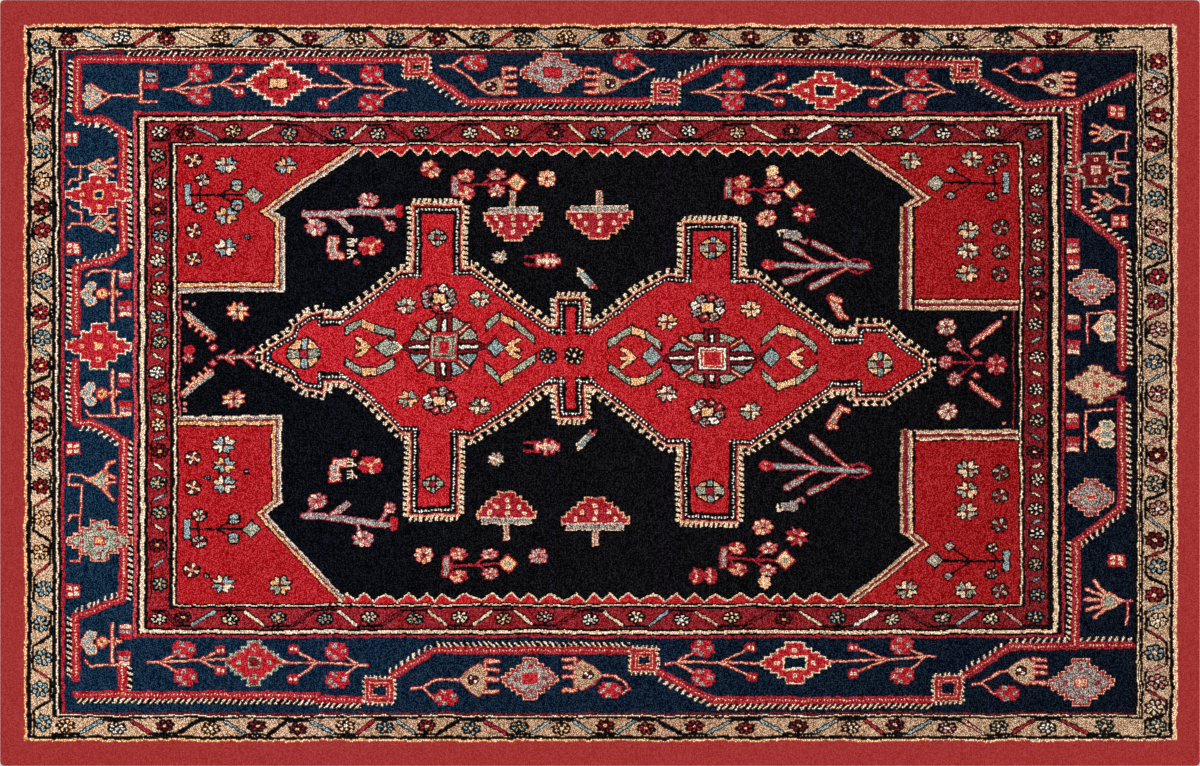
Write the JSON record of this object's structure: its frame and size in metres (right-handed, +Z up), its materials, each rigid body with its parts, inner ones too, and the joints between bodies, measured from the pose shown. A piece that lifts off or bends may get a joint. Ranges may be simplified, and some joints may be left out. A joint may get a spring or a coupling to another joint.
{
  "type": "washable printed rug",
  "caption": "Flat rectangular rug of thin short-pile cloth with eased corners and a rounded rim, printed with a traditional medallion carpet design inside a plain red surround.",
  "frame": {"origin": "middle of the rug's underside, on the floor that it lies on", "axes": "+X along the long side, +Y along the short side, +Z up out of the printed face"},
  "size_m": [2.4, 1.532, 0.005],
  "materials": {
    "printed_cloth": "matt short pile, printed in scarlet, crimson, navy, black, camel, cream and pale blue inside a plain red surround"
  },
  "bodies": {
    "root": {"rug": "printed_cloth"}
  },
  "joints": []
}
